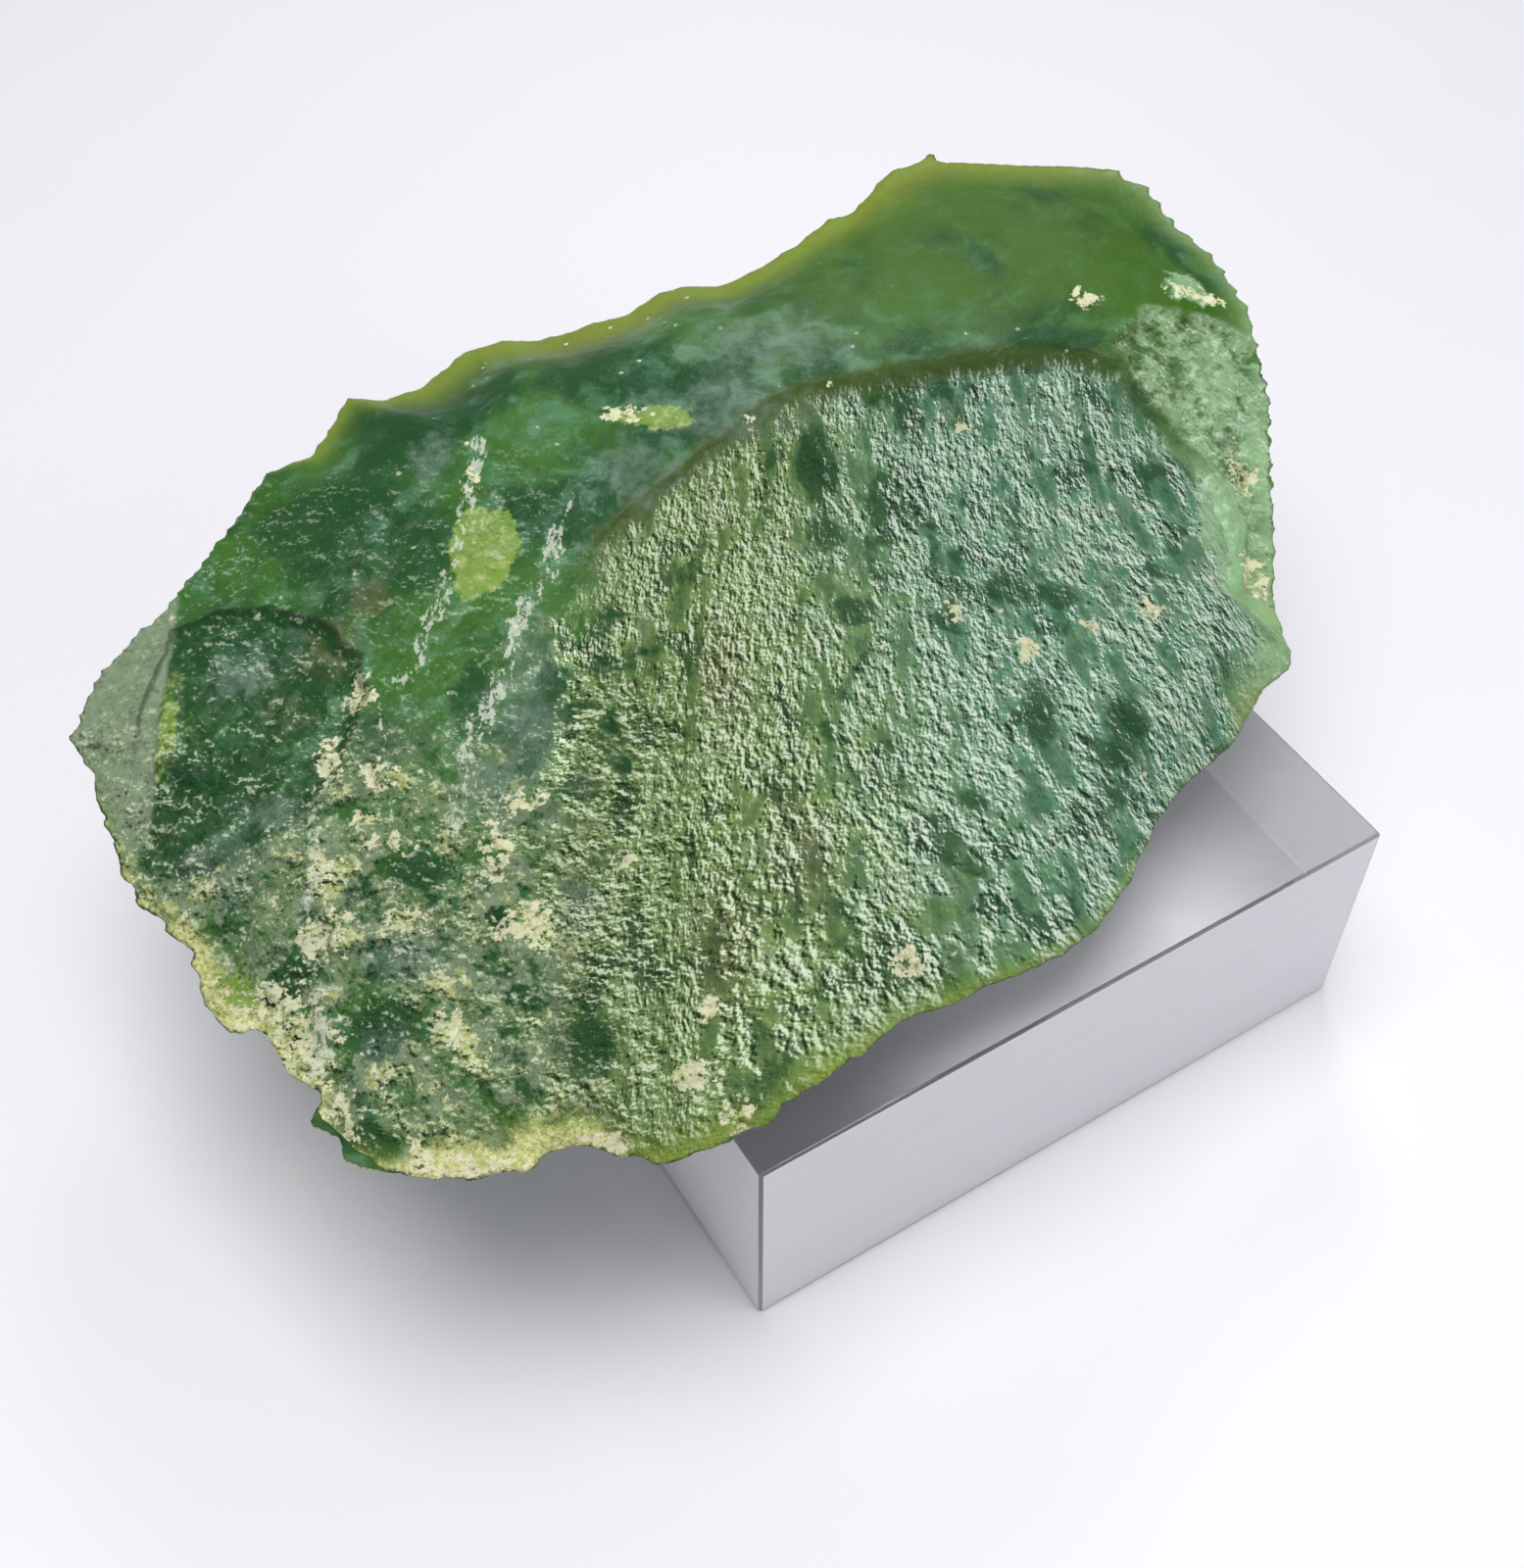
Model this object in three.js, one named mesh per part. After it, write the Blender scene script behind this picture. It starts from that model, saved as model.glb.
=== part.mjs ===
// A raw piece of nephrite jade, broken from a boulder, lying on a clear display block.
// Millimetres, +Z up. The origin is the centre of the block's underside.
import * as THREE from 'three';
import { ImprovedNoise } from 'three/addons/math/ImprovedNoise.js';

// The display block: a square slab with a fine polished chamfer on its edges.
const BLOCK_SIDE = 80;
const BLOCK_HEIGHT = 30;
const BLOCK_CHAMFER = 0.4;

// The stone's own frame: x to the right, y away along the broken face, z out of that face.
const STONE_CENTRE = new THREE.Vector3(-12, 16, 49);
const STONE_TURN = THREE.MathUtils.degToRad(-32);
const STONE_TILT = THREE.MathUtils.degToRad(8);
const REST_GAP = 0.3;

// The broken outline of the face, corner by corner, anticlockwise from the back.
const RIM_CORNERS = [
  [24, 68], [21, 66.5], [18.5, 62], [16, 59], [13.5, 58], [9.5, 53.5], [5, 49.5], [0.5, 46.5],
  [-3.5, 46.5], [-7, 45.5], [-10.5, 42], [-21, 37.5], [-25, 37.5], [-29.5, 36], [-31.5, 33.5],
  [-34.5, 30], [-38.5, 28], [-43, 28.5], [-44.5, 23.5], [-46, 19.5], [-51, 17.5],
  [-53.5, 11.5], [-59.5, 1], [-63.5, -3], [-67.5, -8.5], [-69, -15.5], [-67, -19.5],
  [-61.5, -30], [-58, -37.5], [-52.5, -42], [-50.5, -45.5], [-49.5, -49.5], [-47.5, -52],
  [-43.5, -53], [-39.5, -58.5], [-36.5, -60], [-36, -62.5], [-33.5, -65.5], [-29, -68],
  [-16.5, -68], [-14, -66], [-10, -65], [-8, -66.5], [-4, -67], [1.5, -65.5], [6.5, -63],
  [10.5, -59], [19, -53], [24, -50.5], [34.5, -45.5], [39, -42], [42.5, -37], [46.5, -29],
  [49.5, -25], [55, -20], [59.5, -12.5], [63, -9.5], [62, -1], [63.5, 10.5], [65.5, 29],
  [64.5, 43.5], [61, 52.5], [57.5, 57], [54.5, 64], [51, 67], [47, 68], [39.5, 68.5], [26.5, 70],
];
const RIM_SPACING = 4.5;
const RIM_HEIGHT = -3;

// Broad swells and hollows of the broken face: place, radius, and rise above it.
const FACE_FORMS = [
  { name: 'crown', x: 8, y: 0, radius: 62, rise: 3.5 },
  { name: 'upper_shoulder', x: 6, y: 24, radius: 18, rise: 2 },
  { name: 'right_shoulder', x: 36, y: 37, radius: 14, rise: 1.5 },
  { name: 'upper_hollow', x: 30, y: 52, radius: 18, rise: -1.5 },
  { name: 'left_dish', x: -48, y: -18, radius: 16, rise: -3.5 },
  { name: 'dark_flat', x: -42, y: 10, radius: 16, rise: -1 },
  { name: 'right_break', x: 60, y: 22, radius: 12, rise: -2.5 },
  { name: 'front_left_bruise', x: -38, y: -52, radius: 15, rise: -2 },
  { name: 'front_hollow', x: -2, y: -50, radius: 20, rise: -1 },
];
// Places where the rim itself runs higher or lower than the rest of it.
const RIM_FORMS = [
  { name: 'left_tip', x: -69, y: -14, radius: 22, rise: -5 },
  { name: 'front_left', x: -52, y: -46, radius: 14, rise: -2 },
  { name: 'front', x: 25, y: -50, radius: 50, rise: 2 },
];

// The fibrous scar fills the right half of the face, a step below the smooth shoulder round it.
const SCAR_EDGE = [
  [-16, -70], [-15, -20], [-14, -2], [-10, 5], [-5, 10.5], [2, 16.5], [10.5, 23], [20, 26.5],
  [38, 31.5], [47, 30], [55, 18.5], [58.5, 8], [58, 0], [70, -10], [60, -80],
];
const SCAR_DEPTH = 2.2;
const SCAR_WALL = 7;
const SCAR_STEP_START = -8;
const SCAR_STEP_FULL = 8;

// Broken faces of the underside: height at the centre, and slope along x and along y.
const UNDER_FACES = [
  { name: 'left', height: -24, alongX: -0.27, alongY: 0.03 },
  { name: 'front_left', height: -23, alongX: -0.2, alongY: -0.24 },
  { name: 'front', height: -21.5, alongX: 0.03, alongY: -0.3 },
  { name: 'front_right', height: -26, alongX: 0.24, alongY: -0.2 },
  { name: 'right', height: -27, alongX: 0.34, alongY: 0.02 },
  { name: 'back', height: -29, alongX: -0.03, alongY: 0.48 },
  { name: 'back_left', height: -26, alongX: -0.2, alongY: 0.28 },
];
const STEEPEST_SIDE = 1.6;
const SHALLOWEST_SIDE = 0.2;

// Unevenness of the broken surfaces: how high and how wide the lumps are.
const FACE_LUMPS = { height: 0.5, width: 11 };
const UNDER_LUMPS = { height: 1.6, width: 14 };

// The middle of the face and the middle of the underside, which the facets run out from.
const CROWN = new THREE.Vector2(14, -12);
const KEEL = new THREE.Vector2(2, -2);
const FACE_ROWS = 15;
const UNDER_ROWS = 8;

const noise = new ImprovedNoise();

function lumps(x, y, { height, width }) {
  const broad = noise.noise(x / width, y / width, 0.5);
  const small = noise.noise(x * 2 / width, y * 2 / width, 7.5);
  return height * (broad + 0.5 * small);
}

function formsAt(forms, x, y) {
  return forms.reduce((total, form) => {
    const distance = Math.hypot(x - form.x, y - form.y) / form.radius;
    return total + form.rise * Math.exp(-distance * distance);
  }, 0);
}

// Distance from the scar's edge, positive inside the scar.
function depthIntoScar(x, y) {
  const point = new THREE.Vector3(x, y, 0);
  const nearest = new THREE.Vector3();
  let distance = Infinity;
  let inside = false;
  SCAR_EDGE.forEach(([ax, ay], i) => {
    const [bx, by] = SCAR_EDGE[(i + 1) % SCAR_EDGE.length];
    const side = new THREE.Line3(new THREE.Vector3(ax, ay, 0), new THREE.Vector3(bx, by, 0));
    side.closestPointToPoint(point, true, nearest);
    distance = Math.min(distance, nearest.distanceTo(point));
    if ((ay > y) !== (by > y) && x < ax + (bx - ax) * (y - ay) / (by - ay)) inside = !inside;
  });
  return inside ? distance : -distance;
}

function faceHeight(x, y) {
  const step = THREE.MathUtils.smoothstep(y, SCAR_STEP_START, SCAR_STEP_FULL);
  const drop = SCAR_DEPTH * step * THREE.MathUtils.smoothstep(depthIntoScar(x, y), 0, SCAR_WALL);
  return formsAt(FACE_FORMS, x, y) - drop + lumps(x, y, FACE_LUMPS);
}

function rimHeight(x, y) {
  return RIM_HEIGHT + formsAt(RIM_FORMS, x, y);
}

// The level of the block's top face, seen in the stone's own tilted frame.
function restHeight(y) {
  const level = BLOCK_HEIGHT + REST_GAP - STONE_CENTRE.z;
  return (level - y * Math.sin(STONE_TILT)) / Math.cos(STONE_TILT);
}

function underHeight(x, y, rim) {
  const inward = Math.hypot(x - rim.x, y - rim.y);
  const broken = UNDER_FACES.map((face) => face.height + face.alongX * x + face.alongY * y);
  const wanted = Math.max(...broken) + lumps(x, y, UNDER_LUMPS);
  const lowest = rim.z - STEEPEST_SIDE * inward;
  const highest = rim.z - SHALLOWEST_SIDE * inward;
  return Math.max(THREE.MathUtils.clamp(wanted, lowest, highest), restHeight(y));
}

// The rim's points, with long straight breaks divided evenly.
function rimPoints() {
  const points = [];
  RIM_CORNERS.forEach(([ax, ay], i) => {
    const [bx, by] = RIM_CORNERS[(i + 1) % RIM_CORNERS.length];
    const steps = Math.ceil(Math.hypot(bx - ax, by - ay) / RIM_SPACING);
    for (let k = 0; k < steps; k += 1) {
      const x = THREE.MathUtils.lerp(ax, bx, k / steps);
      const y = THREE.MathUtils.lerp(ay, by, k / steps);
      points.push(new THREE.Vector3(x, y, rimHeight(x, y)));
    }
  });
  return points;
}

// A globe whose northern rows become the broken face and whose southern rows the underside.
function stoneGeometry() {
  const rim = rimPoints();
  const rows = FACE_ROWS + UNDER_ROWS;
  const geometry = new THREE.SphereGeometry(1, rim.length, rows);
  const position = geometry.attributes.position;
  for (let row = 0; row <= rows; row += 1) {
    for (let column = 0; column <= rim.length; column += 1) {
      const edge = rim[column % rim.length];
      const onFace = row <= FACE_ROWS;
      const reach = onFace ? row / FACE_ROWS : (rows - row) / UNDER_ROWS;
      const middle = onFace ? CROWN : KEEL;
      const x = THREE.MathUtils.lerp(middle.x, edge.x, reach);
      const y = THREE.MathUtils.lerp(middle.y, edge.y, reach);
      const height = onFace
        ? THREE.MathUtils.lerp(faceHeight(x, y), edge.z, THREE.MathUtils.smoothstep(reach, 0.8, 1))
        : underHeight(x, y, edge);
      position.setXYZ(row * (rim.length + 1) + column, x, y, height);
    }
  }
  geometry.computeVertexNormals();
  return geometry;
}

function blockGeometry() {
  const half = BLOCK_SIDE / 2 - BLOCK_CHAMFER;
  const outline = new THREE.Shape();
  outline.moveTo(-half, -half);
  outline.lineTo(half, -half);
  outline.lineTo(half, half);
  outline.lineTo(-half, half);
  outline.closePath();
  const geometry = new THREE.ExtrudeGeometry(outline, {
    depth: BLOCK_HEIGHT - 2 * BLOCK_CHAMFER,
    bevelEnabled: true,
    bevelThickness: BLOCK_CHAMFER,
    bevelSize: BLOCK_CHAMFER,
    bevelSegments: 1,
  });
  geometry.translate(0, 0, BLOCK_CHAMFER);
  return geometry;
}

const jade = new THREE.MeshStandardMaterial({ color: 0x4f7a45, roughness: 0.45, metalness: 0 });
const acrylic = new THREE.MeshStandardMaterial({ color: 0xe6e8f0, roughness: 0.05, metalness: 0 });

const stone = new THREE.Mesh(stoneGeometry(), jade);
stone.name = 'stone';
stone.rotation.x = STONE_TILT;

const stoneSeat = new THREE.Group();
stoneSeat.position.copy(STONE_CENTRE);
stoneSeat.rotation.z = STONE_TURN;
stoneSeat.add(stone);

const displayBlock = new THREE.Mesh(blockGeometry(), acrylic);
displayBlock.name = 'display_block';

const model = new THREE.Group();
model.name = 'jade_on_block';
model.add(displayBlock, stoneSeat);

export default model;
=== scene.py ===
import itertools
import math

import bpy
import numpy as np
from mathutils import Matrix, Vector
from mathutils.kdtree import KDTree


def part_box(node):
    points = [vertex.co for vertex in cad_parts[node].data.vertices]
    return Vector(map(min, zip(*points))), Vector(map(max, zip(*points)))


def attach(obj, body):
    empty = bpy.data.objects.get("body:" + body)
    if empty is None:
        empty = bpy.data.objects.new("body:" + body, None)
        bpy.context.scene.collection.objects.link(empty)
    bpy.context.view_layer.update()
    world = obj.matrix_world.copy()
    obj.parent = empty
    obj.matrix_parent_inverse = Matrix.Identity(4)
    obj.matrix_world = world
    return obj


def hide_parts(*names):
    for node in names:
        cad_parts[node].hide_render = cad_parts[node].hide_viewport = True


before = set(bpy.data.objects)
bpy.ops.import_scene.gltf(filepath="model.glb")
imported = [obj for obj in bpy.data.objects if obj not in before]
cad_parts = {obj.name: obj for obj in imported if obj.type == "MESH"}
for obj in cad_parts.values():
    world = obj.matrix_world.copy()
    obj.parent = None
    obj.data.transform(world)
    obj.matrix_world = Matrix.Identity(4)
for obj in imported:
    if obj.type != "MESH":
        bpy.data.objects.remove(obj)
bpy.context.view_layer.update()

MM = 0.001

# The stone's own frame, as in the construction: x to the right, y away along the broken face,
# z out of that face. Places on the stone are in millimetres in this frame.
STONE_CENTRE = Vector((-12, 16, 49)) * MM
STONE_TURN = math.radians(-32)
STONE_TILT = math.radians(8)
STONE_PLACE = (
    Matrix.Translation(STONE_CENTRE)
    @ Matrix.Rotation(STONE_TURN, 4, "Z")
    @ Matrix.Rotation(STONE_TILT, 4, "X")
    @ Matrix.Scale(MM, 4)
)

# How finely the stone is cut, how many triangles it may keep, how often its face and rim are
# smoothed, and how far above the block's top it stays.
VOXEL = 0.41 * MM
STONE_TRIANGLES = 192000
FACE_SMOOTHING = 40
RIM_SMOOTHING = 7
REST_CLEARANCE = 0.1 * MM

# The fibrous scar: its edge, how deep it lies in the construction and in the finished stone,
# how wide its wall is, and between which heights on the face the step begins.
SCAR_EDGE = [
    (-16, -80), (-15, -30), (-14.5, -12), (-13, 0), (-9.9, 5.5), (-4.9, 10.6), (2, 16.2), (5.5, 20),
    (10.5, 23.3), (15, 24.8), (19.4, 26.3), (28.3, 29.3), (34.8, 30.5), (41, 31.8), (47.4, 30),
    (48.7, 27.3), (51.7, 22.8), (55.1, 18.4), (57.6, 13.9), (58.8, 8), (58.3, 2.5), (57, -1),
    (66, -5), (75, -12), (60, -90),
]
BROAD_SCAR_DEPTH = 2.2
BROAD_SCAR_WALL = 7
SCAR_DEPTH = 1.7
SCAR_STEP = (-8, 8)

# The dished scar at the left, and the rough break at the right edge.
DISH_EDGE = [
    (-59, -3.5), (-53, -2.8), (-48, -3.3), (-44, -4.5), (-40, -6.7), (-36.7, -10.7), (-35.2, -15),
    (-37, -24), (-42, -32), (-50, -36), (-58, -34), (-61, -24), (-60, -12),
]
BREAK_EDGE = [
    (46, 33), (49, 27), (52, 22.6), (55.4, 18.1), (57.9, 13.9), (59.1, 8), (58.6, 2.5), (57.3, -1.2),
    (66, -2), (72, 20), (70, 34), (60, 40), (51, 39),
]

# Flats broken off the upper edge of the rim: a point on the crest, the way it falls, how steeply.
RIM_FLATS = {
    "left": ((-58.6, -12), (-1, 0.06), -2.4, 0.5),
    "upper_left": ((-53.5, 9.5), (-0.87, 0.5), -2.0, 0.75),
    "front_left": ((-44, -50), (-0.7, -0.7), -2.2, 0.45),
}

# How the thin rim glows, painted into its colour as the light it lets through: place, how far in the glow
# reaches, how strong it is, how yellow.
RIM_GLOW = [
    (-44, 26, 3.5, 0.75, 0.6), (-31, 34, 6, 0.9, 0.7), (-20, 38, 7, 1, 0.75), (-8, 45, 6.5, 1, 0.7),
    (4, 49, 5.5, 0.95, 0.65), (15, 59, 6, 0.95, 0.7), (24, 69, 6, 1, 0.8), (40, 69, 5, 0.95, 0.75),
    (55, 62, 3.6, 0.8, 0.5), (63, 48, 3.2, 0.7, 0.3), (65, 30, 3, 0.8, 0.15), (63, 10, 3.5, 0.85, 0.1),
    (60, -10, 4, 0.9, 0.3), (50, -25, 1.4, 0.35, 0.2), (40, -41, 1.7, 0.6, 0.3),
    (25, -50, 2.2, 0.75, 0.35), (10, -59, 2.6, 0.8, 0.45), (-5, -66, 3.5, 0.9, 0.7),
    (-20, -68, 4.5, 0.95, 0.85), (-34, -64, 3, 0.7, 0.5), (-42, -54, 4, 0.9, 0.6),
    (-50, -45, 3.5, 0.9, 0.35), (-57, -37, 2.5, 0.6, 0.35), (-64, -25, 2.2, 0.55, 0.35),
    (-69, -14, 1.2, 0.3, 0.3), (-62, -1, 1.2, 0.3, 0.2), (-54, 12, 1.3, 0.4, 0.3),
]
RIM_GLOW_BLEND = 7

# How far the marks slide towards the front for each millimetre that the face rises, because
# they are laid out as they look from above and in front.
MARK_SLIDE = 0.85

# Marks on the face: x, y, half width and half height.
MARKS = {
    # crushed, pale yellow stone
    "pale": [
        (-39, -55, 4.2, 6.2), (-42, -50, 3, 2.6), (-20, -67.6, 7, 2.2), (-33.5, -62, 2, 3.4),
        (-36.2, -15.5, 1.6, 2.6), (-38.6, -23, 1.7, 2.8), (-33.1, -25.2, 2, 1.6), (-34, -30.6, 1.4, 1),
        (-29, -42, 1.6, 1.6), (-24, -53, 1.2, 1.7), (-26.2, -65.2, 1, 2.4), (-7.6, -34.4, 1.2, 0.9),
        (-37, -43, 2.5, 2.5), (-31, -33, 2.6, 1.4), (-9.8, 23, 2.2, 1.1), (-26.4, 13.6, 0.9, 1.8),
        (33.6, -9, 1.2, 2.4), (26.4, -3.6, 1.2, 1.4), (39.8, -5.7, 1.3, 1), (47.2, -3.4, 1.7, 1.2),
        (28.4, 21.8, 1, 1), (13.6, 27.4, 0.6, 0.6), (4.6, 22.8, 0.9, 0.7), (43.3, 41.5, 1.7, 1.4),
        (57.5, 43.5, 3.4, 1.5), (60.5, 17, 1.6, 3), (60, 2, 1.6, 3), (-18, -28, 2, 1.4),
        (-20.5, -34, 1.8, 3.4), (-17, -42, 2.8, 2.2), (-9, -64.8, 3, 1.3), (-0.5, -58, 2.4, 1.8),
        (4, -62, 1.6, 1.4), (1, -51, 1.4, 1.4), (-38, -36, 1.2, 3), (20, -46, 1.6, 1.6),
    ],
    # clean thin chips, bright yellow green
    "lime": [
        (56, 8, 1.8, 7), (-46, -49.5, 4, 4), (58.5, 30, 3, 8), (57, 44, 3, 3),
        (-12, -63.5, 4, 1.6), (-52.5, 18.4, 2.2, 1.3), (62.5, 20, 1.8, 8), (-57, -17, 1.2, 6),
        (60, -10, 2.6, 2.6),
    ],
    # clear deep green
    "deep": [
        (-51, -25, 8, 5), (-46.5, -18.5, 3, 2), (-40, -47.5, 3, 2.6), (-30, -53.5, 4, 3.2),
        (-31, -64.5, 3.6, 2.4), (-28, -36, 3.8, 2), (-19.4, -41.3, 1.7, 1.4), (-16, -50, 2.4, 1.6),
        (11.7, 17, 2.2, 4.6), (12.8, 6.2, 2.2, 2.2), (15.5, -4, 2.6, 2.6), (32, -1, 3.2, 2.6),
        (37.5, -2, 2.8, 1.8), (27, -27.5, 2.2, 1.6), (-18, -20, 2.2, 6), (40, 34.8, 7, 2),
        (-45, 8, 7, 7), (-32, 3, 4, 6), (-16, 33, 7, 5), (-34, 20, 6, 6),
        (43, -19, 2.6, 5), (34, -17, 2, 5), (-10, -55, 3, 4), (-24, -15, 2.4, 5),
    ],
    # cool grey blue sheen, a painted reflection
    "sheen": [
        (-48.5, -35, 5.5, 3.6), (-49.5, -12, 4.5, 3), (-43.5, -29.5, 3.4, 2.4), (-18.5, -16, 3, 12),
        (1, 23.5, 8, 5), (-8, 15, 4, 5), (6, 34, 9, 4), (-21.5, -26, 4, 4), (-28, -46, 5, 3),
        (-12, -40, 2.5, 3), (-31, 17, 2.4, 4), (-30, -55, 3, 2.4),
    ],
    # brownish, iron stained
    "brown": [
        (-40.5, -9.5, 3.6, 5), (-44, -16, 3, 4), (-36, -3, 2.4, 3), (2, -44, 4, 9), (10, -33, 4, 8),
        (2, -12, 3, 8), (-46, -27, 2, 2),
    ],
}

# Two larger clean chips, by their outlines.
CHIPS = [
    [(-27.8, 7.5), (-26.6, 9.6), (-24, 9), (-21.4, 9.8), (-20.4, 5), (-21, 0.5), (-22.6, -1.6),
     (-24.2, -3), (-26.4, -2.6), (-27, -0.5), (-28, 2)],
    [(-10.8, 22), (-10, 23.4), (-8, 23.6), (-6, 24.4), (-4, 23.9), (-2.2, 24), (-1.8, 21.8),
     (-3.6, 21.4), (-5.4, 20.9), (-8.4, 21.5)],
]

# Pale healed cracks, as lines of points with the width of the line.
VEINS = [
    (1.1, [(-16.3, 6.5), (-17.2, 0.5), (-19.6, -4), (-20.4, -9.5), (-21.3, -13.5), (-23.2, -18.8),
           (-24.1, -26), (-24.8, -31)]),
    (0.9, [(-25.6, 19), (-26.4, 13), (-27.3, 2), (-29, -4.5), (-30.6, -10.8), (-32, -14)]),
    (0.8, [(-39.4, -24), (-39.1, -30), (-38.6, -36), (-38.4, -42), (-37.2, -49), (-36, -57)]),
    (0.22, [(-14.5, 12), (-15.5, 7), (-16.8, 2), (-18, -3)]),
    (0.22, [(-34, -15), (-33, -22), (-31, -30)]),
]


# ---------- noise and shapes on points, in millimetres ----------

GRADIENTS = np.random.default_rng(7).normal(size=(4096, 3)).astype(np.float32)
GRADIENTS /= np.linalg.norm(GRADIENTS, axis=1)[:, None]
# Large primes, which scatter neighbouring cells over the gradients.
CELL_KEYS = np.array([73856093, 19349663, 83492791])


def noise(points, size, seed=0):
    """Gradient noise from about -1 to 1 whose lumps are about size across, on 2 or 3 axes."""
    axes = points.shape[1]
    cells = (points / size + 31.7 * seed).astype(np.float32)
    corner = np.floor(cells)
    inside = cells - corner
    corner = corner.astype(np.int64)
    ease = inside ** 3 * (inside * (inside * 6 - 15) + 10)
    total = np.zeros(len(points), np.float32)
    for step in itertools.product((0, 1), repeat=axes):
        key = np.zeros(len(points), np.int64)
        weight = np.ones(len(points), np.float32)
        for axis in range(axes):
            key ^= (corner[:, axis] + step[axis]) * CELL_KEYS[axis]
            weight *= ease[:, axis] if step[axis] else 1 - ease[:, axis]
        gradient = GRADIENTS[key % len(GRADIENTS), :axes]
        total += weight * np.einsum("ij,ij->i", gradient, inside - np.float32(step))
    return total * 1.6


def layered(points, size, seed=0, layers=3):
    """Several octaves of noise, each half as high and half as wide as the last."""
    return sum(noise(points, size / 2 ** k, seed + k) / 2 ** k for k in range(layers))


def ridged(points, size, seed=0):
    """Noise folded into sharp crests, from 0 to 1."""
    return 1 - np.abs(np.clip(noise(points, size, seed), -1, 1))


def smoothstep(low, high, x):
    t = np.clip((x - low) / (high - low), 0, 1)
    return t * t * (3 - 2 * t)


def distance_to_line(xy, line):
    """Distance from each point to an open line of points."""
    nearest = np.full(len(xy), np.inf)
    for start, end in zip(line[:-1], line[1:]):
        start, along = np.array(start), np.subtract(end, start)
        t = np.clip((xy - start) @ along / (along @ along), 0, 1)
        gap = xy - start - t[:, None] * along
        nearest = np.minimum(nearest, gap[:, 0] ** 2 + gap[:, 1] ** 2)
    return np.sqrt(nearest)


def depth_inside(xy, edge):
    """Distance from a closed edge, positive inside it."""
    inside = np.zeros(len(xy), bool)
    for (ax, ay), (bx, by) in zip(edge, edge[1:] + edge[:1]):
        crosses = (ay > xy[:, 1]) != (by > xy[:, 1])
        height = by - ay if by != ay else 1
        inside ^= crosses & (xy[:, 0] < ax + (bx - ax) * (xy[:, 1] - ay) / height)
    nearest = distance_to_line(xy, edge + edge[:1])
    return np.where(inside, nearest, -nearest)


def spots(xy, places):
    """1 in the middle of each place, 0.5 at its edge and 0 at 1.5 times its size."""
    reach = np.zeros(len(xy))
    for x, y, half_width, half_height in places:
        r = np.hypot((xy[:, 0] - x) / half_width, (xy[:, 1] - y) / half_height)
        reach = np.maximum(reach, np.clip(1.5 - r, 0, 1))
    return reach


def fibre_coordinates(xy):
    """Across and along the fibres, which run down the face and fan out to the lower right."""
    x, y = xy[:, 0], xy[:, 1]
    fan = (np.maximum(25 - y, 0) / 70) ** 1.5
    return np.stack([x - 0.4 * np.maximum(x, 0) * fan, y], axis=1)


# ---------- meshes ----------

def deselect_all():
    bpy.ops.object.select_all(action="DESELECT")


def make_active(piece):
    deselect_all()
    piece.select_set(True)
    bpy.context.view_layer.objects.active = piece


def apply_modifier(piece, name, kind, **settings):
    modifier = piece.modifiers.new(name, kind)
    for setting, value in settings.items():
        setattr(modifier, setting, value)
    make_active(piece)
    bpy.ops.object.modifier_apply(modifier=modifier.name)


def read_vectors(piece, collection="vertices", field="co"):
    items = getattr(piece.data, collection)
    values = np.zeros(len(items) * 3, np.float32)
    items.foreach_get(field, values)
    return values.reshape(-1, 3).astype(float)


def to_stone(points):
    """Points in metres in the row's frame, as millimetres in the stone's own frame."""
    inverse = np.array(STONE_PLACE.inverted())
    return points @ inverse[:3, :3].T + inverse[:3, 3]


def from_stone(points):
    place = np.array(STONE_PLACE)
    return points @ place[:3, :3].T + place[:3, 3]


def stone_normals(piece, collection="vertex_normals", field="vector"):
    return read_vectors(piece, collection, field) @ np.array(STONE_PLACE)[:3, :3] / MM


def write_points(piece, points):
    piece.data.vertices.foreach_set("co", points.astype(np.float32).ravel())
    piece.data.update()


def store(piece, name, values, domain="POINT"):
    kind = "FLOAT_VECTOR" if values.ndim == 2 else "FLOAT"
    field = "vector" if values.ndim == 2 else "value"
    attribute = piece.data.attributes.new(name, kind, domain)
    attribute.data.foreach_set(field, values.astype(np.float32).ravel())


def vertex_group(piece, name, weights):
    """A vertex group, with its weights rounded to tenths so that few calls fill it."""
    group = piece.vertex_groups.new(name=name)
    tenths = np.round(weights * 10).astype(int)
    for tenth in range(1, 11):
        group.add(np.flatnonzero(tenths == tenth).tolist(), tenth / 10, "REPLACE")


def copied_node(name, node):
    """A merged copy of a CAD node's mesh, as a new piece."""
    piece = bpy.data.objects.new(name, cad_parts[node].data.copy())
    bpy.context.scene.collection.objects.link(piece)
    piece.data.materials.clear()
    make_active(piece)
    bpy.ops.object.mode_set(mode="EDIT")
    bpy.ops.mesh.select_all(action="SELECT")
    bpy.ops.mesh.remove_doubles(threshold=0.001 * MM)
    bpy.ops.object.mode_set(mode="OBJECT")
    return piece


# ---------- the stone's shape ----------

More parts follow.
